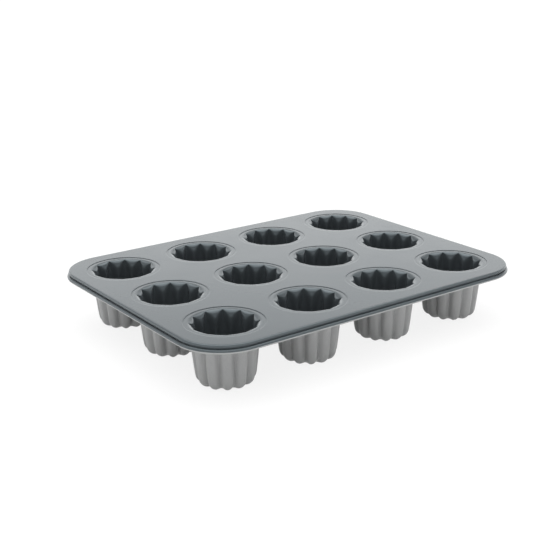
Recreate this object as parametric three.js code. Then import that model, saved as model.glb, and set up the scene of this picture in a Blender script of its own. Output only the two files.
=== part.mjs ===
// Canele pan: a sheet steel deck with a wired rim carries fluted cups in crimped seats.
// Millimetres, +Z up. The pan stands on the flat bases of its cups at z = 0, centred on the Z axis.
// Columns of cups run along +X and rows along +Y, with row a at the front.
import * as THREE from 'three';

// Driving dimensions of the whole pan
const COLUMNS = 4;
const ROWS = 3;
const PAN_HEIGHT = 49.7; // cup bases to the top of the deck
const WEB_WIDTH = 16.8; // flat deck between two neighbouring seats
const END_BORDER = 12.2; // flat deck between the outer seats and the bend, at the short ends
const SIDE_BORDER = 13.5; // the same, along the long sides
const CORNER_RADIUS = 38; // edge of the flat deck, seen from above

// Driving dimensions of a cup
const FLUTES = 12;
const CUP_SHEET = 0.6; // wall thickness
const MOUTH_RADIUS = 27.6; // inside of a lobe, at the top of the wall
const FLUTE_DEPTH = 3.8; // from the lobes in to the grooves
const CORNER_FLUTE_DEPTH = 2.8; // the same, half way round the base corner
const LOBE_SHARE = 0.5; // part of the way from a crest to the next groove that a lobe's curve takes
const LOBE_FALL = 0.3; // part of the flute's depth that the curve falls on that way
const SHOULDER_LOBE_FALL = 0.6; // the same over the shoulder, where the lobes end narrow
const WALL_TAPER = 6; // degrees that the wall leans out
const LOBE_SHOULDER = 1; // radius from the flange down to the wall, at a lobe
const GROOVE_SHOULDER = 3.4; // radius from the flange down to the wall, at a groove
const FLANGE_WIDTH = 3.1; // flat ring outside the shoulders of the lobes
const BASE_CORNER_RADIUS = 8; // outside of a lobe, wall to base

// Driving dimensions of the deck and its seats
const DECK_SHEET = 0.6; // deck thickness
const SEAT_STEP = 0.3; // top of the deck down to the top of a cup's flange
const CRIMP_OVERHANG = 0.1; // how far a seat's lip reaches in over the flange
const SEAT_CLEARANCE = 0.1; // cup to seat, sideways

// Driving dimensions of the rim
const EDGE_BEND_RADIUS = 0.6; // inside of the bend from deck to skirt
const SKIRT_LEAN = 24; // degrees that the skirt leans in under the edge of the deck
const RIM_DROP = 6.95; // top of the deck down to the bottom of the roll
const WIRE_DIAMETER = 2.1;
const WIRE_CLEARANCE = 0.1; // wire to the inside of the roll
const ROLL_GAP = 0.4; // end of the roll to the skirt

// Facets of the round stretches
const CORNER_STEPS = 8;
const BEND_STEPS = 4;
const ROLL_STEPS = 10;
const WIRE_SIDES = 8;

// Sizes that follow from the driving dimensions
const flangeTop = PAN_HEIGHT - SEAT_STEP;
const flangeBottom = flangeTop - CUP_SHEET;
const shoulderStart = MOUTH_RADIUS + LOBE_SHOULDER;
const flangeRadius = shoulderStart + FLANGE_WIDTH;
const lipRadius = flangeRadius - CRIMP_OVERHANG;
const cupPitch = 2 * lipRadius + WEB_WIDTH;
const halfLength = (COLUMNS - 1) * cupPitch / 2 + lipRadius + END_BORDER;
const halfWidth = (ROWS - 1) * cupPitch / 2 + lipRadius + SIDE_BORDER;
const bendOuterRadius = EDGE_BEND_RADIUS + DECK_SHEET;
const bendZ = PAN_HEIGHT - bendOuterRadius;
const rollInnerRadius = WIRE_DIAMETER / 2 + WIRE_CLEARANCE;
const rollOuterRadius = rollInnerRadius + DECK_SHEET;
const rollZ = PAN_HEIGHT - RIM_DROP + rollOuterRadius;
// The skirt's straight part touches the bend and the roll, which fixes how far out the roll lies
const skirtLean = THREE.MathUtils.degToRad(SKIRT_LEAN);
const touching = bendOuterRadius + rollInnerRadius;
const rollX = (touching - (bendZ - rollZ) * Math.sin(skirtLean)) / Math.cos(skirtLean);

const coatedSteel = { color: 0x5f6264, roughness: 0.35, metalness: 0.1 };
const greyUndercoat = { color: 0x9a9a97, roughness: 0.5, metalness: 0.1 };
const drawnWire = { color: 0x8b8d8e, roughness: 0.35, metalness: 1 };

// Points at equal steps along an arc in a section, from one angle to another in degrees.
function arc(centreX, centreZ, radius, from, to, steps) {
  return Array.from({ length: steps + 1 }, (_, i) => {
    const angle = THREE.MathUtils.degToRad(from + (to - from) * i / steps);
    return new THREE.Vector2(centreX + radius * Math.cos(angle), centreZ + radius * Math.sin(angle));
  });
}

// Joins two loops of equally many points. A loop runs anticlockwise seen from above, and the
// faces look up where the second loop lies outside the first.
function addBand(triangles, first, second) {
  for (let i = 0; i < first.length; i++) {
    const next = (i + 1) % first.length;
    triangles.push(first[i], second[i], second[next]);
    triangles.push(first[i], second[next], first[next]);
  }
}

function addBands(triangles, loops) {
  for (let i = 1; i < loops.length; i++) addBand(triangles, loops[i - 1], loops[i]);
}

// Fills a flat loop, less its holes, with faces that look up or down.
function addCap(triangles, outline, holes, facesUp) {
  const points = [outline, ...holes].flat();
  const flat = (loop) => loop.map((point) => new THREE.Vector2(point.x, point.y));
  for (const [a, b, c] of THREE.ShapeUtils.triangulateShape(flat(outline), holes.map(flat))) {
    const turnsLeft = THREE.ShapeUtils.area([points[a], points[b], points[c]]) > 0;
    const corners = turnsLeft === facesUp ? [a, b, c] : [c, b, a];
    triangles.push(...corners.map((corner) => points[corner]));
  }
}

function makeMesh(name, triangles, look) {
  const geometry = new THREE.BufferGeometry().setFromPoints(triangles);
  geometry.computeVertexNormals();
  const mesh = new THREE.Mesh(geometry, new THREE.MeshStandardMaterial(look));
  mesh.name = name;
  return mesh;
}

// One ring of a cup about its own axis. Each flute has a point on its lobe's crest, one at each
// end of the lobe's curve and one in the groove.
function cupRing(lobe, groove = lobe, lobeFall = LOBE_FALL) {
  const halfFlute = 180 / FLUTES;
  const across = [[0, 0], [LOBE_SHARE, lobeFall], [1, 1], [2 - LOBE_SHARE, lobeFall]];
  return Array.from({ length: FLUTES }, (_, i) => across.map(([way, fall]) => {
    const angle = THREE.MathUtils.degToRad((2 * i + way) * halfFlute);
    const point = lobe.clone().lerp(groove, fall);
    return new THREE.Vector3(point.x * Math.cos(angle), point.x * Math.sin(angle), point.y);
  })).flat();
}

// A cup: its inner skin from the base up to the flange, then its outer skin back down to the base.
function cupTriangles() {
  const taper = THREE.MathUtils.degToRad(WALL_TAPER);
  const wallTop = flangeTop - LOBE_SHOULDER;
  const wallRadius = (z) => MOUTH_RADIUS - (wallTop - z) * Math.tan(taper);
  const outerWallAtFloor = wallRadius(0) + CUP_SHEET / Math.cos(taper);
  const cornerX = outerWallAtFloor + BASE_CORNER_RADIUS * (Math.tan(taper) - 1 / Math.cos(taper));
  const ring = (radius, z) => cupRing(new THREE.Vector2(radius, z));

  // Three rings of one skin round the base corner, the skin's thickness in from the outside
  const cornerRings = (thickness) => {
    const radius = BASE_CORNER_RADIUS - thickness;
    const at = (depth) => arc(cornerX, BASE_CORNER_RADIUS, radius - depth, -90, -WALL_TAPER, 2);
    return [
      cupRing(at(0)[0]),
      cupRing(at(0)[1], at(CORNER_FLUTE_DEPTH)[1]),
      cupRing(at(0)[2], at(FLUTE_DEPTH)[2]),
    ];
  };
  // Three rings of one skin over the shoulder, from the top of the wall up to the flange
  const shoulderRings = (thickness) => {
    const at = (wall, radius) => arc(wall + radius, flangeTop - radius, radius - thickness, 180, 90, 2);
    const groove = at(MOUTH_RADIUS - FLUTE_DEPTH, GROOVE_SHOULDER);
    const lobes = at(MOUTH_RADIUS, LOBE_SHOULDER);
    return lobes.map((lobe, i) => cupRing(lobe, groove[i], SHOULDER_LOBE_FALL));
  };

  const inner = [
    ...cornerRings(CUP_SHEET),
    ...shoulderRings(0),
    ring(flangeRadius, flangeTop),
  ];
  const outer = [
    ring(flangeRadius, flangeBottom),
    ...shoulderRings(CUP_SHEET).reverse(),
    ...cornerRings(0).reverse(),
  ];
  const triangles = [];
  addBands(triangles, [...inner, ...outer]);
  addCap(triangles, inner[0], [], true);
  addCap(triangles, outer.at(-1), [], false);
  return triangles;
}

// A loop round the pan, the given distance outside the edge of the flat deck.
function rimLoop({ x: offset, y: z }) {
  const radius = CORNER_RADIUS + offset;
  const corners = [[1, 1], [-1, 1], [-1, -1], [1, -1]];
  return corners.flatMap(([sideX, sideY], i) => arc(
    sideX * (halfLength - CORNER_RADIUS),
    sideY * (halfWidth - CORNER_RADIUS),
    radius, 90 * i, 90 * (i + 1), CORNER_STEPS,
  )).map((point) => new THREE.Vector3(point.x, point.y, z));
}

// The rim's section: over the bend, down the skirt's outer face, round the inside of the roll to
// its end, and back round the outside of the roll, up the inner face and under the bend.
function rimSection() {
  const rollStart = 180 - SKIRT_LEAN;
  const reach = Math.acos((ROLL_GAP - rollInnerRadius) / rollOuterRadius);
  const rollEnd = 360 - SKIRT_LEAN + THREE.MathUtils.radToDeg(reach);
  return [
    ...arc(0, bendZ, bendOuterRadius, 90, -SKIRT_LEAN, BEND_STEPS),
    ...arc(rollX, rollZ, rollInnerRadius, rollStart, rollEnd, ROLL_STEPS),
    ...arc(rollX, rollZ, rollOuterRadius, rollEnd, rollStart, ROLL_STEPS),
    ...arc(0, bendZ, EDGE_BEND_RADIUS, -SKIRT_LEAN, 90, BEND_STEPS),
  ];
}

// One seat about its own axis: under the deck, round the ledge and up the leaning wall to the lip.
function seatLoops() {
  const wallLean = (CRIMP_OVERHANG + SEAT_CLEARANCE) / SEAT_STEP;
  const wallRadius = (z) => lipRadius + wallLean * (PAN_HEIGHT - z);
  const backRadius = (z) => wallRadius(z) + DECK_SHEET * Math.hypot(1, wallLean);
  const holeRadius = shoulderStart + SEAT_CLEARANCE;
  const deckBottom = PAN_HEIGHT - DECK_SHEET;
  const ledgeBottom = flangeBottom - DECK_SHEET;
  return [
    [backRadius(deckBottom), deckBottom],
    [backRadius(ledgeBottom), ledgeBottom],
    [holeRadius, ledgeBottom],
    [holeRadius, flangeBottom],
    [wallRadius(flangeBottom), flangeBottom],
    [lipRadius, PAN_HEIGHT],
  ].map(([radius, z]) => cupRing(new THREE.Vector2(radius, z)));
}

// The place of each cup's axis, with its row letter and column number.
const cupPlaces = [];
for (let row = 0; row < ROWS; row++) {
  for (let column = 0; column < COLUMNS; column++) {
    const x = (column - (COLUMNS - 1) / 2) * cupPitch;
    const y = (row - (ROWS - 1) / 2) * cupPitch;
    const letter = String.fromCharCode('a'.charCodeAt(0) + row);
    cupPlaces.push({ name: `cup_${letter}${column + 1}`, place: new THREE.Vector3(x, y, 0) });
  }
}

function deckTriangles() {
  const triangles = [];
  const rim = rimSection().map(rimLoop);
  const seats = cupPlaces.map(({ place }) => seatLoops().map(
    (loop) => loop.map((point) => point.clone().add(place)),
  ));
  addBands(triangles, rim);
  seats.forEach((loops) => addBands(triangles, loops));
  addCap(triangles, rim[0], seats.map((loops) => loops.at(-1)), true);
  addCap(triangles, rim.at(-1), seats.map((loops) => loops[0]), false);
  return triangles;
}

function wireTriangles() {
  const section = arc(rollX, rollZ, WIRE_DIAMETER / 2, 360, 0, WIRE_SIDES);
  section.pop();
  const loops = section.map(rimLoop);
  const triangles = [];
  addBands(triangles, [...loops, loops[0]]);
  return triangles;
}

const pan = new THREE.Group();
pan.name = 'canele_pan';
pan.add(makeMesh('deck_plate', deckTriangles(), coatedSteel));
pan.add(makeMesh('rim_wire', wireTriangles(), drawnWire));
for (const { name, place } of cupPlaces) {
  const cup = makeMesh(name, cupTriangles(), greyUndercoat);
  cup.position.copy(place);
  pan.add(cup);
}

export default pan;
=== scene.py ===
import math
from collections import namedtuple

import bmesh
import bpy
from mathutils import Matrix, Vector


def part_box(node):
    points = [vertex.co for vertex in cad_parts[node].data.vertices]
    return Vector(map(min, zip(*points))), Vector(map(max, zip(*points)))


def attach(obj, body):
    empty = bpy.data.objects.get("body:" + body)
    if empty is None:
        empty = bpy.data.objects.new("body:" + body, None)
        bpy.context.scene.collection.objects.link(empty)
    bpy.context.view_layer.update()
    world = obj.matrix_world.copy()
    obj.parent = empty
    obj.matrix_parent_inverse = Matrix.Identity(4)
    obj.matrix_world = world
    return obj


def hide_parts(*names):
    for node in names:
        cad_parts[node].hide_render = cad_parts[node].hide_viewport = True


bl_info = {
    "name": "Canele pan",
    "version": (1, 0, 0),
    "blender": (4, 5, 0),
    "location": "3D View > Sidebar > Canele pan",
    "description": "Models a coated canele pan on its frame and sets a plain studio round it",
    "category": "Object",
}

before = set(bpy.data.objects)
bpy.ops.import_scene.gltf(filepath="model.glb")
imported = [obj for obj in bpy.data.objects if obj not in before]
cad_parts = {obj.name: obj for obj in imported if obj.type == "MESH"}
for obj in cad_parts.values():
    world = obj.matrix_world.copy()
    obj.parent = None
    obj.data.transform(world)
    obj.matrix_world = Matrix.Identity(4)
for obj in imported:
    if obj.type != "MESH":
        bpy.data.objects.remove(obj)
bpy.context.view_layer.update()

MM = 0.001
BODY = "root"
CUP_NODES = sorted(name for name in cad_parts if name.startswith("cup_"))
DECK_LOW, DECK_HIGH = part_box("deck_plate")
DECK_TOP = DECK_HIGH.z

# Facets: round a cup's flute, round a seat and along each corner of the deck, and in the sections of the
# bend, the rolled edge and the wire
FLUTE_STEPS = 16
SEAT_STEPS = 96
CORNER_STEPS = 20
BEND_STEPS = 8
ROLL_STEPS = 22
WIRE_STEPS = 16

# Points nearer to each other than this are merged
MERGE = 0.005 * MM
# Points nearer than this to a height or a radius count as lying on it
NEAR = 0.01 * MM
# The rolled edge stays this far inside its CAD node, so that rounding can't carry it past the pan's box
BOX_INSET = 0.01 * MM
# Flat deck that is made with each seat and with the rim, before the rest is filled in between them
SEAT_STRIP = 1.2 * MM
RIM_STRIP = 1.5 * MM
# Edges that turn by more than this stay sharp, on the deck and on the cups and wire
DECK_CREASE = math.radians(35)
CUP_CREASE = math.radians(50)

# Painted shade: the dark top coat is painted over the rolled edge, standing in for the shade of the gap
# above the bead, from this far inside its middle outwards, where a face looks up, level or down by no
# more than the slight dip
ROLL_SHADE_INSIDE = 0.4 * MM
ROLL_SHADE_DIP = -0.1

# How the rings of a cup follow each other, with the grooves' narrowness last in each row. On the flange
# a row is the share of its width; over the shoulder the angle in degrees; down the wall, round the base
# corner and across the base the share of the way and the share of the flute's depth.
FLANGE_RINGS = (0, 0.1, 0.85)
SHOULDER_RINGS = ((86, 0.35), (68, 0.38), (50, 0.42), (33, 0.46), (16, 0.52), (4, 0.58))
WALL_RINGS = ((0, 1, 0.64), (0.1, 1, 0.95), (0.25, 0.94, 1.5), (0.6, 0.86, 1.9))
CORNER_RINGS = ((0, 0.84, 1.9), (0.25, 0.82, 1.7), (0.5, 0.74, 1.4), (0.75, 0.56, 1.1), (1, 0.28, 0.9))
BASE_RINGS = ((0.86, 0.1, 0.9), (0.72, 0, 0.9))
# The first ring of the wall lies this far under the grooves' shoulder
WALL_START = 0.6 * MM

# Where the studio's light changes, as the sine of the angle above the horizon: end of the white walls,
# start and end of the dim ceiling, start of the full soft box
WALLS_END, CEILING_START, CEILING_END, SOFT_BOX_START = 0.3, 0.48, 0.64, 0.8
# The way from the pan to the lit backdrop, and how far off that way the light starts and ends falling
BACKDROP_WAY = (0.6, 0.8, 0)
BACKDROP_FULL, BACKDROP_FAR = 0.6, -0.3

# One ring of a cup: where it lies on a lobe, how far and which way its grooves are pressed in, and how
# narrow they are. A lean of 0 presses straight in to the axis, and a quarter turn straight up.
Ring = namedtuple("Ring", "radius height depth lean narrow")


def linear(colour):
    """Turns an sRGB hex colour into linear red, green, blue and alpha."""
    values = [int(colour[i:i + 2], 16) / 255 for i in (1, 3, 5)]
    return [v / 12.92 if v <= 0.04045 else ((v + 0.055) / 1.055) ** 2.4 for v in values] + [1.0]


class CaneleDeckSizes(bpy.types.PropertyGroup):
    """Sizes of the deck plate and of the wire in its rim."""
    sheet: bpy.props.FloatProperty(
        name="Sheet", description="Thickness of the deck", default=0.6 * MM, unit="LENGTH")
    lip_radius: bpy.props.FloatProperty(
        name="Lip radius", description="Edge of a seat at the top of the deck",
        default=31.6 * MM, unit="LENGTH")
    ledge_radius: bpy.props.FloatProperty(
        name="Ledge radius", description="Hole inside a seat's ledge", default=28.7 * MM, unit="LENGTH")
    ledge_drop: bpy.props.FloatProperty(
        name="Ledge drop", description="Top of the deck down to a seat's ledge",
        default=0.92 * MM, unit="LENGTH")
    wall_lean: bpy.props.FloatProperty(
        name="Wall lean", description="How far a seat's wall spreads out under its lip",
        default=0.6 * MM, unit="LENGTH")
    lip_round: bpy.props.FloatProperty(
        name="Lip round", description="Width of the rounding on a seat's lip",
        default=0.15 * MM, unit="LENGTH")
    corner_radius: bpy.props.FloatProperty(
        name="Corner radius", description="Edge of the flat deck, seen from above",
        default=38 * MM, unit="LENGTH")
    bend_radius: bpy.props.FloatProperty(
        name="Bend radius", description="Outside of the bend from deck to skirt",
        default=1.2 * MM, unit="LENGTH")
    skirt_lean: bpy.props.FloatProperty(
        name="Skirt lean", description="How far the skirt leans in under the edge of the deck",
        default=math.radians(24), subtype="ANGLE")
    roll_radius: bpy.props.FloatProperty(
        name="Roll radius", description="Inside of the rolled edge", default=1.15 * MM, unit="LENGTH")
    roll_gap: bpy.props.FloatProperty(
        name="Roll gap", description="End of the rolled edge to the skirt", default=0.4 * MM, unit="LENGTH")
    wire_radius: bpy.props.FloatProperty(
        name="Wire radius", description="Wire inside the rolled edge", default=1.05 * MM, unit="LENGTH")


class CaneleCupSizes(bpy.types.PropertyGroup):
    """Sizes of one fluted cup."""
    sheet: bpy.props.FloatProperty(
        name="Sheet", description="Thickness of a cup", default=0.6 * MM, unit="LENGTH")
    flutes: bpy.props.IntProperty(name="Flutes", description="Lobes round a cup", default=12, min=6)
    flute_depth: bpy.props.FloatProperty(
        name="Flute depth", description="From the lobes in to the grooves", default=3.9 * MM, unit="LENGTH")
    mouth_radius: bpy.props.FloatProperty(
        name="Mouth radius", description="Inside of a lobe at the top of the wall",
        default=27.6 * MM, unit="LENGTH")
    taper: bpy.props.FloatProperty(
        name="Taper", description="How far the wall leans out", default=math.radians(6), subtype="ANGLE")
    lobe_shoulder: bpy.props.FloatProperty(
        name="Lobe shoulder", description="Radius from the flange down to the wall at a lobe",
        default=0.8 * MM, unit="LENGTH")
    groove_shoulder: bpy.props.FloatProperty(
        name="Groove shoulder", description="Radius from the flange down to the wall at a groove",
        default=4.6 * MM, unit="LENGTH")
    flange_radius: bpy.props.FloatProperty(
        name="Flange radius", description="Outer edge of the flange", default=31.7 * MM, unit="LENGTH")
    flange_drop: bpy.props.FloatProperty(
        name="Flange drop", description="Top of the deck down to the flange",
        default=0.3 * MM, unit="LENGTH")
    corner_radius: bpy.props.FloatProperty(
        name="Base corner radius", description="Outside of a lobe, wall to base",
        default=8 * MM, unit="LENGTH")


class CaneleColours(bpy.types.PropertyGroup):
    """Colours of the coats and of the wire, before light falls on them."""
    top_coat: bpy.props.FloatVectorProperty(
        name="Top coat", description="Non-stick coat on the deck and inside the cups",
        size=4, min=0, max=1, default=linear("#464b4e"), subtype="COLOR")
    undercoat: bpy.props.FloatVectorProperty(
        name="Undercoat", description="Enamel under the deck and outside the cups",
        size=4, min=0, max=1, default=linear("#939494"), subtype="COLOR")
    wire: bpy.props.FloatVectorProperty(
        name="Wire", description="Bare steel of the wire in the rim",
        size=4, min=0, max=1, default=linear("#8f9092"), subtype="COLOR")


class CaneleStudio(bpy.types.PropertyGroup):
    """Where the camera stands and how the studio is lit."""
    azimuth: bpy.props.FloatProperty(
        name="Azimuth", description="Camera's way round the pan from its front",
        default=math.radians(-36.174), subtype="ANGLE")
    elevation: bpy.props.FloatProperty(
        name="Elevation", description="Camera's height above the horizon",
        default=math.radians(19.006), subtype="ANGLE")
    roll: bpy.props.FloatProperty(
        name="Roll", description="Turn of the camera about its own line of sight",
        default=math.radians(-0.547), subtype="ANGLE")
    distance: bpy.props.FloatProperty(
        name="Distance", description="Camera to the middle of the deck", default=912.2 * MM, unit="LENGTH")
    pan_right: bpy.props.FloatProperty(
        name="Pan right", description="How far right of the picture's middle the deck's middle lies",
        default=7.23 * MM, unit="LENGTH")
    pan_up: bpy.props.FloatProperty(
        name="Pan up", description="How far above the picture's middle the deck's middle lies",
        default=13.58 * MM, unit="LENGTH")
    lens: bpy.props.FloatProperty(
        name="Lens", description="Focal length on a 36 mm sensor", default=66.574, unit="CAMERA")
    surround: bpy.props.FloatProperty(
        name="Surround", description="Strength of the white walls round the pan", default=1.62, min=0)
    ceiling: bpy.props.FloatProperty(
        name="Ceiling", description="Strength of the light from above", default=0.5, min=0)
    room: bpy.props.FloatProperty(
        name="Room", description="Share of the light that is left on the camera's side", default=0.6, min=0)
    soft_box: bpy.props.FloatProperty(
        name="Soft box", description="Strength of the soft box straight above", default=3.6, min=0)


def add_node(tree, kind, settings=None, inputs=None):
    """Adds a node with its settings, and sets or links each named or numbered input."""
    node = tree.nodes.new(kind)
    for name, value in (settings or {}).items():
        setattr(node, name, value)
    for name, value in (inputs or {}).items():
        if isinstance(value, bpy.types.NodeSocket):
            tree.links.new(value, node.inputs[name])
        else:
            node.inputs[name].default_value = value
    return node


def new_material(name):
    """An empty material and its node tree."""
    material = bpy.data.materials.new(name)
    material.use_nodes = True
    material.node_tree.nodes.clear()
    return material, material.node_tree


def per_mm(size):
    """The scale of a noise whose patches are about this many millimetres across."""
    return 1 / (size * MM)


def cloudy_ramp(tree, pattern, colour, spread, low, high):
    """A colour that a pattern makes darker and paler by a share, over a range of the pattern's values."""
    shade = add_node(tree, "ShaderNodeValToRGB", None, {"Fac": pattern})
    for element, place, level in zip(shade.color_ramp.elements, (low, high), (1 - spread, 1 + spread)):
        element.position = place
        element.color = [value * level for value in colour[:3]] + [1.0]
    return shade.outputs["Color"]


def sprayed_coat(name, colour, roughness, ior, grit, peel, sheen, cloud=45):
    """A coat sprayed on steel and baked: cloudy by a few per cent, with fine grit and orange peel.

    Grit, peel and cloud are sizes in millimetres. Real grit is about 0.2 mm and its peel 1 mm, too fine
    to show in a picture of the whole pan, so both are drawn coarser.
    """
    material, tree = new_material(name)
    place = add_node(tree, "ShaderNodeTexCoord").outputs["Object"]
    clouds = add_node(tree, "ShaderNodeTexNoise", None, {
        "Vector": place, "Scale": per_mm(cloud), "Detail": 3.0, "Roughness": 0.6})
    specks = add_node(tree, "ShaderNodeTexNoise", None, {
        "Vector": place, "Scale": per_mm(grit), "Detail": 1.0, "Roughness": 0.5})
    blotch = add_node(tree, "ShaderNodeMix", None, {
        "Factor": 0.35, 2: clouds.outputs["Fac"], 3: specks.outputs["Fac"]})
    gloss = add_node(tree, "ShaderNodeMapRange", None, {
        "Value": clouds.outputs["Fac"], "From Min": 0.3, "From Max": 0.7,
        "To Min": roughness - 0.03, "To Max": roughness + 0.03})
    orange_peel = add_node(tree, "ShaderNodeTexNoise", None, {
        "Vector": place, "Scale": per_mm(peel), "Detail": 2.0, "Roughness": 0.5})
    relief = add_node(tree, "ShaderNodeBump", None, {
        "Strength": 0.12, "Distance": 0.02 * MM, "Height": orange_peel.outputs["Fac"]})
    coat = add_node(tree, "ShaderNodeBsdfPrincipled", None, {
        "Base Color": cloudy_ramp(tree, blotch.outputs[0], colour, 0.07, 0.35, 0.65),
        "Roughness": gloss.outputs["Result"],
        "Normal": relief.outputs["Normal"], "IOR": ior, "Specular Tint": linear(sheen)})
    add_node(tree, "ShaderNodeOutputMaterial", None, {"Surface": coat.outputs["BSDF"]})
    return material


def charcoal_nonstick():
    """Baked non-stick coat: charcoal with a satin gloss that turns pale grey at a low angle."""
    colour = bpy.context.scene.canele_colours.top_coat
    return sprayed_coat(
        "Charcoal_nonstick_coat_satin", colour, roughness=0.22, ior=1.55, grit=0.9, peel=2.2, sheen="#e6f8ff")


def grey_undercoat():
    """Baked silicone enamel under the pan: plain mid grey, a little rougher than the top coat."""
    colour = bpy.context.scene.canele_colours.undercoat
    return sprayed_coat(
        "Grey_enamel_satin", colour, roughness=0.45, ior=1.5, grit=0.8, peel=1.8, sheen="#ffffff")


def drawn_steel():
    """Cold drawn steel wire: bare metal with fine light and dark marks left by the die."""
    material, tree = new_material("Drawn_steel_wire")
    place = add_node(tree, "ShaderNodeTexCoord").outputs["Object"]
    marks = add_node(tree, "ShaderNodeTexNoise", None, {
        "Vector": place, "Scale": per_mm(0.6), "Detail": 2.0})
    colour = bpy.context.scene.canele_colours.wire
    steel = add_node(tree, "ShaderNodeBsdfPrincipled", None, {
        "Base Color": cloudy_ramp(tree, marks.outputs["Fac"], colour, 0.25, 0, 1),
        "Metallic": 1.0, "Roughness": 0.38})
    add_node(tree, "ShaderNodeOutputMaterial", None, {"Surface": steel.outputs["BSDF"]})
    return material


def material_named(name, maker):
    """The material of that name, made once."""
    return bpy.data.materials.get(name) or maker()


def coat_both_sides(piece):
    """Gives a sheet its top coat, and its undercoat for the side that a wall's thickness adds."""
    piece.data.materials.append(material_named("Charcoal_nonstick_coat_satin", charcoal_nonstick))
    piece.data.materials.append(material_named("Grey_enamel_satin", grey_undercoat))


def deselect_all():
    """Leaves nothing selected, out of edit mode."""
    if bpy.context.active_object and bpy.context.active_object.mode != "OBJECT":
        bpy.ops.object.mode_set(mode="OBJECT")
    bpy.ops.object.select_all(action="DESELECT")


def edit_at_origin(name):
    """Names the primitive that was just added, and opens it for editing with its own origin at the pan's."""
    bpy.ops.object.transform_apply(location=True, rotation=True)
    piece = bpy.context.active_object
    piece.name = name
    piece.data.name = name
    bpy.ops.object.mode_set(mode="EDIT")
    bpy.ops.mesh.select_mode(type="VERT")
    bpy.ops.mesh.select_all(action="SELECT")
    return piece


def select_points(piece, wanted):
    """In edit mode, selects just the points that the test accepts."""
    shape = bmesh.from_edit_mesh(piece.data)
    shape.select_mode = {"VERT"}
    for part in (*shape.faces, *shape.edges):
        part.select = False
    for point in shape.verts:
        point.select = wanted(point)
    shape.select_flush_mode()
    bmesh.update_edit_mesh(piece.data)


def select_edges(piece, wanted):
    """In edit mode, selects just the edges that the test accepts."""
    bpy.ops.mesh.select_mode(type="EDGE")
    shape = bmesh.from_edit_mesh(piece.data)
    for part in (*shape.faces, *shape.edges, *shape.verts):
        part.select = False
    for edge in shape.edges:
        if wanted(edge):
            edge.select_set(True)
    bmesh.update_edit_mesh(piece.data)


def extrude(way):
    """Extrudes what is selected along a vector."""
    bpy.ops.mesh.extrude_region_move(TRANSFORM_OT_translate={"value": way})


def extrude_rings(profile):
    """Extrudes the selected ring about the Z axis through a profile of (radius, height) points."""
    for (radius, height), (next_radius, next_height) in zip(profile, profile[1:]):
        extrude((0, 0, next_height - height))
        spread = next_radius / radius
        bpy.ops.transform.resize(value=(spread, spread, 1), center_override=(0, 0, next_height))


def face_up(piece, is_flat_top):
    """In edit mode, merges doubles and turns all faces of a sheet to the side of its top."""
    bpy.ops.mesh.select_all(action="SELECT")
    bpy.ops.mesh.remove_doubles(threshold=MERGE)
    bpy.ops.mesh.normals_make_consistent(inside=False)
    shape = bmesh.from_edit_mesh(piece.data)
    shape.normal_update()
    if next(face for face in shape.faces if is_flat_top(face)).normal.z < 0:
        bpy.ops.mesh.flip_normals()


def finish_sheet(piece, thickness, subdivisions):
    """Smooths a coated sheet and gives it its thickness on its underside."""
    bpy.ops.object.mode_set(mode="OBJECT")
    if subdivisions:
        rounding = piece.modifiers.new("Rounding", "SUBSURF")
        rounding.levels = subdivisions
        rounding.render_levels = subdivisions
        bpy.ops.object.modifier_apply(modifier=rounding.name)
    wall = piece.modifiers.new("Sheet", "SOLIDIFY")
    wall.thickness = thickness
    wall.offset = -1
    wall.use_even_offset = True
    wall.material_offset = 1
    wall.material_offset_rim = 0
    bpy.ops.object.modifier_apply(modifier=wall.name)


def require_closed(piece):
    """Stops the build where a finished piece has an open or doubled edge."""
    shape = bmesh.new()
    shape.from_mesh(piece.data)
    faults = sum(not edge.is_manifold for edge in shape.edges)
    shape.free()
    if faults:
        raise RuntimeError(f"{piece.name} has {faults} edges that don't join two faces")


def hand_over(piece, node):
    """Puts a finished piece in place of its CAD node."""
    require_closed(piece)
    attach(piece, BODY)
    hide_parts(node)


def arc(centre_x, centre_z, radius, start, end, steps):
    """Points at equal steps along an arc in a section, angles in degrees."""
    angles = [math.radians(start + (end - start) * i / steps) for i in range(steps + 1)]
    return [(centre_x + radius * math.cos(a), centre_z + radius * math.sin(a)) for a in angles]


def cup_place(node):
    """The middle of a cup's node, seen from above."""
    low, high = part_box(node)
    return (low.x + high.x) / 2, (low.y + high.y) / 2


def roll_centre(deck):
    """Centre of the rolled edge's section, as a distance outside the flat deck and a height."""
    height = DECK_LOW.z + deck.roll_radius + deck.sheet
    fall = DECK_TOP - deck.bend_radius - height
    # The skirt's straight part touches both the bend and the roll
    touching = deck.bend_radius + deck.roll_radius
    return (touching - fall * math.sin(deck.skirt_lean)) / math.cos(deck.skirt_lean), height


def flat_half_sizes(deck):
    """Half the length and width of the deck's flat top."""
    reach = roll_centre(deck)[0] + deck.roll_radius + deck.sheet + BOX_INSET
    return DECK_HIGH.x - reach, DECK_HIGH.y - reach


def sweep_round_rim(deck):
    """Carries the selected section, which stands on the pan's right side, once round the pan."""
    half_length, half_width = flat_half_sizes(deck)
    x = half_length - deck.corner_radius
    y = half_width - deck.corner_radius
    sides = [(-2 * x, 0, 0), (0, -2 * y, 0), (2 * x, 0, 0), (0, 2 * y, 0)]
    for corner, side in zip([(x, y, 0), (-x, y, 0), (-x, -y, 0), (x, -y, 0)], sides):
        # A spin turns clockwise seen against its axis, so an axis that points down goes anticlockwise
        bpy.ops.mesh.spin(steps=CORNER_STEPS, angle=math.pi / 2, center=corner, axis=(0, 0, -1))
        extrude(side)


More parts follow.
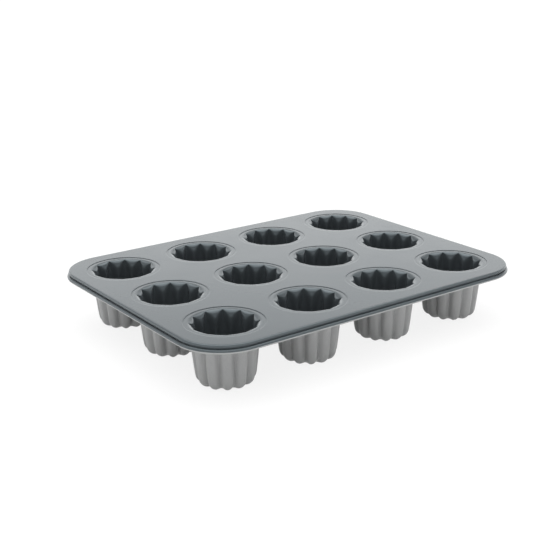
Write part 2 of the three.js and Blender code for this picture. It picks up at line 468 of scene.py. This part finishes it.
def rim_section(deck):
    """The deck's top side in section, from just inside the bend to the end of the rolled edge."""
    bend = deck.bend_radius
    lean = math.degrees(deck.skirt_lean)
    roll_x, roll_z = roll_centre(deck)
    reach = math.degrees(math.acos((deck.roll_gap - deck.roll_radius) / (deck.roll_radius + deck.sheet)))
    flat = [(-RIM_STRIP, DECK_TOP)]
    return flat + arc(0, DECK_TOP - bend, bend, 90, -lean, BEND_STEPS) + arc(
        roll_x, roll_z, deck.roll_radius, 180 - lean, 360 - lean + reach, ROLL_STEPS)


def make_seat(deck):
    """One stepped seat about the Z axis, with a strip of flat deck round it."""
    deselect_all()
    strip = deck.lip_radius + SEAT_STRIP
    bpy.ops.mesh.primitive_circle_add(vertices=SEAT_STEPS, radius=strip, location=(0, 0, DECK_TOP))
    seat = edit_at_origin("Seat")
    ledge_z = DECK_TOP - deck.ledge_drop
    extrude_rings([
        (strip, DECK_TOP), (deck.lip_radius, DECK_TOP),
        (deck.lip_radius + deck.wall_lean, ledge_z), (deck.ledge_radius, ledge_z)])
    bpy.ops.object.mode_set(mode="OBJECT")
    return seat


def paint_roll_shade(plate, deck):
    """Paints the dark top coat over the outside of the rolled edge where its faces look up or level, as
    painted shade for the gap above the bead.
    """
    half_length, half_width = flat_half_sizes(deck)
    x = half_length - deck.corner_radius
    y = half_width - deck.corner_radius
    roll_x = roll_centre(deck)[0]
    bpy.ops.object.mode_set(mode="EDIT")
    bpy.ops.mesh.select_mode(type="FACE")
    bpy.ops.mesh.select_all(action="DESELECT")
    shape = bmesh.from_edit_mesh(plate.data)
    for face in shape.faces:
        middle = face.calc_center_median()
        out = Vector((max(abs(middle.x) - x, 0), max(abs(middle.y) - y, 0))).length - deck.corner_radius
        below_bend = middle.z < DECK_TOP - 2 * deck.bend_radius
        # Painted shade: faces of the roll that look up or level get the dark top coat instead of the grey
        # undercoat
        face.select_set(below_bend and out > roll_x - ROLL_SHADE_INSIDE and face.normal.z > ROLL_SHADE_DIP)
    bmesh.update_edit_mesh(plate.data)
    plate.active_material_index = 0
    bpy.ops.object.material_slot_assign()
    bpy.ops.object.mode_set(mode="OBJECT")


def round_lips(plate, deck):
    """Rounds the sharp edge of each seat, once the sheet has its thickness."""
    places = [Vector(cup_place(node)) for node in CUP_NODES]

    def on_lip(point):
        reach = min((point.co.xy - place).length for place in places)
        return abs(point.co.z - DECK_TOP) < NEAR and abs(reach - deck.lip_radius) < NEAR

    bpy.ops.object.mode_set(mode="EDIT")
    select_edges(plate, lambda edge: all(on_lip(point) for point in edge.verts))
    bpy.ops.mesh.bevel(offset=deck.lip_round, segments=3, affect="EDGES")
    bpy.ops.object.mode_set(mode="OBJECT")


def make_rim(deck):
    """The bend, skirt and rolled edge all round the pan."""
    deselect_all()
    half_length, half_width = flat_half_sizes(deck)
    start_y = half_width - deck.corner_radius
    section = [(half_length + x, start_y, z) for x, z in rim_section(deck)]
    bpy.ops.mesh.primitive_plane_add(size=1 * MM, location=section[0])
    rim = edit_at_origin("Deck_plate")
    bpy.ops.mesh.merge(type="CENTER")
    for point, following in zip(section, section[1:]):
        extrude(Vector(following) - Vector(point))
    bpy.ops.mesh.select_all(action="SELECT")
    sweep_round_rim(deck)
    bpy.ops.mesh.select_all(action="SELECT")
    bpy.ops.mesh.remove_doubles(threshold=MERGE)
    bpy.ops.object.mode_set(mode="OBJECT")
    return rim


class CANELE_OT_deck(bpy.types.Operator):
    """Models the deck plate with its seats, skirt and rolled edge"""
    bl_idname = "canele.deck"
    bl_label = "Deck plate"

    def execute(self, context):
        deck = context.scene.canele_deck
        seat = make_seat(deck)
        seats = [seat]
        for node in CUP_NODES:
            deselect_all()
            seat.select_set(True)
            context.view_layer.objects.active = seat
            if node != CUP_NODES[-1]:
                bpy.ops.object.duplicate(linked=False)
                seats.append(context.active_object)
            context.active_object.location = (*cup_place(node), 0)
        rim = make_rim(deck)
        for piece in seats:
            piece.select_set(True)
        rim.select_set(True)
        context.view_layer.objects.active = rim
        bpy.ops.object.join()

        bpy.ops.object.mode_set(mode="EDIT")

        def bounds_flat(edge):
            return edge.is_boundary and all(abs(v.co.z - DECK_TOP) < NEAR for v in edge.verts)

        def is_deck_top(face):
            return abs(face.normal.z) > 0.99 and face.calc_center_median().z > DECK_TOP - NEAR

        select_edges(rim, bounds_flat)
        bpy.ops.mesh.fill(use_beauty=True)
        face_up(rim, is_deck_top)
        coat_both_sides(rim)
        finish_sheet(rim, deck.sheet, 0)
        paint_roll_shade(rim, deck)
        round_lips(rim, deck)
        bpy.ops.object.shade_smooth_by_angle(angle=DECK_CREASE)
        hand_over(rim, "deck_plate")
        return {"FINISHED"}


def cup_rings(cup):
    """The rings of a cup's inner side, from the flange's edge in to the flat of the base."""
    flange_z = DECK_TOP - cup.flange_drop
    wall_top = flange_z - cup.lobe_shoulder
    lean = cup.taper
    depth = cup.flute_depth
    inner_corner = cup.corner_radius - cup.sheet
    outer_at_floor = cup.mouth_radius - wall_top * math.tan(lean) + cup.sheet / math.cos(lean)
    corner_x = outer_at_floor + cup.corner_radius * (math.tan(lean) - 1 / math.cos(lean))

    rings = []
    flange_width = cup.flange_radius - cup.mouth_radius - cup.lobe_shoulder
    for share in FLANGE_RINGS:
        rings.append(Ring(cup.flange_radius - flange_width * share, flange_z, 0, 0, 1))
    # Over the shoulder the grooves turn down on a larger radius than the lobes, and run out broad
    for angle, narrow in SHOULDER_RINGS:
        turn = math.radians(angle)
        lobe_x = cup.mouth_radius + cup.lobe_shoulder * (1 - math.cos(turn))
        lobe_z = flange_z - cup.lobe_shoulder * (1 - math.sin(turn))
        groove_x = cup.mouth_radius - depth + cup.groove_shoulder * (1 - math.cos(turn))
        groove_z = flange_z - cup.groove_shoulder * (1 - math.sin(turn))
        press = Vector((lobe_x - groove_x, lobe_z - groove_z))
        rings.append(Ring(lobe_x, lobe_z, press.length, -math.atan2(press.y, press.x), narrow))
    top = flange_z - cup.groove_shoulder - WALL_START
    bottom = cup.corner_radius - inner_corner * math.sin(lean)
    for share, fade, narrow in WALL_RINGS:
        height = top + (bottom - top) * share
        radius = cup.mouth_radius - (wall_top - height) * math.tan(lean)
        rings.append(Ring(radius, height, depth * fade, 0, narrow))
    # Round the base corner they are pressed in towards the corner's centre, and fade out on the base
    for share, fade, narrow in CORNER_RINGS:
        turn = lean + (math.pi / 2 - lean) * share
        rings.append(Ring(
            corner_x + inner_corner * math.cos(turn),
            cup.corner_radius - inner_corner * math.sin(turn), depth * fade, turn, narrow))
    for share, fade, narrow in BASE_RINGS:
        rings.append(Ring(corner_x * share, cup.sheet, depth * fade, math.pi / 2, narrow))
    return rings


def press_share(step, narrow):
    """How far a flute is pressed in at a step from its lobe (0) to its groove (1)."""
    return (1 - math.cos(math.pi * step ** narrow)) / 2


def press_flutes(piece, cup, rings):
    """In edit mode, presses the groove of one flute into a round strip of wall, ring by ring."""
    columns = cup.flutes * FLUTE_STEPS
    groups = {}
    for point in bmesh.from_edit_mesh(piece.data).verts:
        radius, height = point.co.xy.length, point.co.z
        ring = min(rings, key=lambda r: abs(r.radius - radius) + abs(r.height - height))
        column = round(math.atan2(point.co.y, point.co.x) / math.tau * columns)
        groups.setdefault((ring, min(column, FLUTE_STEPS - column)), set()).add(point.index)
    for (ring, column), members in groups.items():
        move = ring.depth * press_share(2 * column / FLUTE_STEPS, ring.narrow)
        if move == 0:
            continue
        select_points(piece, lambda point: point.index in members)
        squeeze = 1 - move * math.cos(ring.lean) / ring.radius
        bpy.ops.transform.resize(value=(squeeze, squeeze, 1), center_override=(0, 0, ring.height))
        bpy.ops.transform.translate(value=(0, 0, move * math.sin(ring.lean)))


def make_cup(cup):
    """One cup about the Z axis: a single flute from crest to crest, turned round the axis."""
    deselect_all()
    rings = cup_rings(cup)
    flute = math.tau / cup.flutes
    bpy.ops.mesh.primitive_circle_add(
        vertices=cup.flutes * FLUTE_STEPS, radius=rings[0].radius, location=(0, 0, rings[0].height))
    piece = edit_at_origin("Cup")
    select_points(piece, lambda point: not -0.001 < math.atan2(point.co.y, point.co.x) < flute + 0.001)
    bpy.ops.mesh.delete(type="VERT")
    bpy.ops.mesh.select_all(action="SELECT")
    extrude_rings([(ring.radius, ring.height) for ring in rings])
    press_flutes(piece, cup, rings)
    bpy.ops.mesh.select_all(action="SELECT")
    bpy.ops.mesh.spin(
        steps=cup.flutes - 1, angle=math.tau - flute, center=(0, 0, 0), axis=(0, 0, -1), dupli=True)
    bpy.ops.mesh.select_all(action="SELECT")
    bpy.ops.mesh.remove_doubles(threshold=MERGE)
    select_edges(piece, lambda edge: edge.is_boundary and edge.verts[0].co.z < 2 * cup.sheet)
    bpy.ops.mesh.edge_face_add()
    face_up(piece, lambda face: len(face.verts) > 4)
    coat_both_sides(piece)
    finish_sheet(piece, cup.sheet, 1)
    bpy.ops.object.shade_smooth_by_angle(angle=CUP_CREASE)
    return piece


class CANELE_OT_cups(bpy.types.Operator):
    """Models one fluted cup and sets a copy in each seat"""
    bl_idname = "canele.cups"
    bl_label = "Fluted cups"

    def execute(self, context):
        first = make_cup(context.scene.canele_cup)
        for node in CUP_NODES:
            deselect_all()
            first.select_set(True)
            context.view_layer.objects.active = first
            if node != CUP_NODES[-1]:
                bpy.ops.object.duplicate(linked=False)
            piece = context.active_object
            piece.name = "Fluted_" + node
            piece.data.name = piece.name
            piece.location = (*cup_place(node), 0)
            bpy.ops.object.transform_apply(location=True)
            hand_over(piece, node)
        return {"FINISHED"}


class CANELE_OT_wire(bpy.types.Operator):
    """Lays the wire inside the rolled edge"""
    bl_idname = "canele.wire"
    bl_label = "Rim wire"

    def execute(self, context):
        deck = context.scene.canele_deck
        half_length, half_width = flat_half_sizes(deck)
        roll_x, roll_z = roll_centre(deck)
        deselect_all()
        bpy.ops.mesh.primitive_circle_add(
            vertices=WIRE_STEPS, radius=deck.wire_radius, rotation=(math.pi / 2, 0, 0),
            location=(half_length + roll_x, half_width - deck.corner_radius, roll_z))
        wire = edit_at_origin("Wire_in_rim")
        sweep_round_rim(deck)
        bpy.ops.mesh.select_all(action="SELECT")
        bpy.ops.mesh.remove_doubles(threshold=MERGE)
        bpy.ops.mesh.normals_make_consistent(inside=False)
        bpy.ops.object.mode_set(mode="OBJECT")
        bpy.ops.object.shade_smooth_by_angle(angle=CUP_CREASE)
        wire.data.materials.append(material_named("Drawn_steel_wire", drawn_steel))
        hand_over(wire, "rim_wire")
        return {"FINISHED"}


def pale_floor():
    """A matt white sweep: white to the camera, with the pan's soft shadow left on it."""
    material, tree = new_material("Matt_white_floor")
    matt = add_node(tree, "ShaderNodeBsdfDiffuse", None, {"Color": linear("#fcfcfc")})
    glow = add_node(tree, "ShaderNodeEmission", None, {"Color": (1, 1, 1, 1), "Strength": 1.0})
    path = add_node(tree, "ShaderNodeLightPath")
    seen = add_node(tree, "ShaderNodeMath", {"operation": "MAXIMUM"}, {
        0: path.outputs["Is Camera Ray"], 1: path.outputs["Is Glossy Ray"]})
    share = add_node(tree, "ShaderNodeMath", {"operation": "MULTIPLY"}, {0: seen.outputs[0], 1: 0.85})
    both = add_node(tree, "ShaderNodeMixShader", None, {
        "Fac": share.outputs[0], 1: matt.outputs["BSDF"], 2: glow.outputs["Emission"]})
    add_node(tree, "ShaderNodeOutputMaterial", None, {"Surface": both.outputs["Shader"]})
    return material


def white_surround(studio):
    """White walls low down, a dim ceiling and a soft box straight above, dimmer away from the backdrop."""
    world = bpy.data.worlds.new("White_surround")
    world.use_nodes = True
    tree = world.node_tree
    tree.nodes.clear()
    way = add_node(tree, "ShaderNodeTexCoord").outputs["Generated"]
    height = add_node(tree, "ShaderNodeSeparateXYZ", None, {"Vector": way})
    levels = add_node(tree, "ShaderNodeValToRGB", None, {"Fac": height.outputs["Z"]})
    ramp = levels.color_ramp
    ramp.interpolation = "EASE"
    for place in (WALLS_END, CEILING_START, CEILING_END):
        ramp.elements.new(place)
    ramp.elements[-1].position = SOFT_BOX_START
    strengths = (studio.surround, studio.surround, studio.ceiling, studio.ceiling, studio.soft_box)
    for element, strength in zip(ramp.elements, strengths):
        element.color = (strength, strength, strength, 1)
    towards = add_node(tree, "ShaderNodeVectorMath", {"operation": "DOT_PRODUCT"}, {0: way, 1: BACKDROP_WAY})
    fall = add_node(tree, "ShaderNodeMapRange", None, {
        "Value": towards.outputs["Value"], "From Min": BACKDROP_FAR, "From Max": BACKDROP_FULL,
        "To Min": studio.room, "To Max": 1.0})
    surround = add_node(tree, "ShaderNodeBackground", None, {
        "Color": levels.outputs["Color"], "Strength": fall.outputs["Result"]})
    add_node(tree, "ShaderNodeOutputWorld", None, {"Surface": surround.outputs["Background"]})
    return world


def place_camera(scene, studio):
    """Stands the camera where the photograph was taken from."""
    back = Vector((
        math.sin(studio.azimuth) * math.cos(studio.elevation),
        -math.cos(studio.azimuth) * math.cos(studio.elevation),
        math.sin(studio.elevation)))
    level = Vector((0, 0, 1)).cross(back).normalized()
    right = Matrix.Rotation(studio.roll, 3, back) @ level
    up = back.cross(right)
    data = bpy.data.cameras.new("Studio_camera")
    data.sensor_width = 36
    data.lens = studio.lens
    camera = bpy.data.objects.new("Studio_camera", data)
    scene.collection.objects.link(camera)
    stand = Vector((0, 0, DECK_TOP)) + back * studio.distance
    stand -= right * studio.pan_right + up * studio.pan_up
    turn = Matrix((right, up, back)).transposed()
    camera.matrix_world = Matrix.Translation(stand) @ turn.to_4x4()
    scene.camera = camera


class CANELE_OT_stage(bpy.types.Operator):
    """Sets the floor, the white surround and the camera"""
    bl_idname = "canele.stage"
    bl_label = "Studio stage"

    def execute(self, context):
        scene = context.scene
        studio = scene.canele_studio
        deselect_all()
        bpy.ops.mesh.primitive_plane_add(size=30)
        floor = context.active_object
        floor.name = "Floor"
        floor.data.materials.append(material_named("Matt_white_floor", pale_floor))

        scene.world = white_surround(studio)
        place_camera(scene, studio)
        scene.view_settings.view_transform = "Standard"
        return {"FINISHED"}


class CANELE_PT_panel(bpy.types.Panel):
    """Sizes of the canele pan and the steps that build it"""
    bl_label = "Canele pan"
    bl_idname = "CANELE_PT_panel"
    bl_space_type = "VIEW_3D"
    bl_region_type = "UI"
    bl_category = "Canele pan"

    def draw(self, context):
        scene = context.scene
        for group, steps in (
            (scene.canele_deck, (CANELE_OT_deck, CANELE_OT_wire)),
            (scene.canele_cup, (CANELE_OT_cups,)),
            (scene.canele_colours, ()),
            (scene.canele_studio, (CANELE_OT_stage,)),
        ):
            box = self.layout.box()
            for name in type(group).__annotations__:
                box.prop(group, name)
            for step in steps:
                box.operator(step.bl_idname)


CLASSES = (
    CaneleDeckSizes, CaneleCupSizes, CaneleColours, CaneleStudio,
    CANELE_OT_deck, CANELE_OT_cups, CANELE_OT_wire, CANELE_OT_stage, CANELE_PT_panel,
)


def register():
    for item in CLASSES:
        bpy.utils.register_class(item)
    bpy.types.Scene.canele_deck = bpy.props.PointerProperty(type=CaneleDeckSizes)
    bpy.types.Scene.canele_cup = bpy.props.PointerProperty(type=CaneleCupSizes)
    bpy.types.Scene.canele_colours = bpy.props.PointerProperty(type=CaneleColours)
    bpy.types.Scene.canele_studio = bpy.props.PointerProperty(type=CaneleStudio)


def unregister():
    del bpy.types.Scene.canele_studio
    del bpy.types.Scene.canele_colours
    del bpy.types.Scene.canele_cup
    del bpy.types.Scene.canele_deck
    for item in reversed(CLASSES):
        bpy.utils.unregister_class(item)


def main():
    register()
    bpy.ops.canele.deck()
    bpy.ops.canele.cups()
    bpy.ops.canele.wire()
    bpy.ops.canele.stage()


if __name__ == "__main__":
    main()
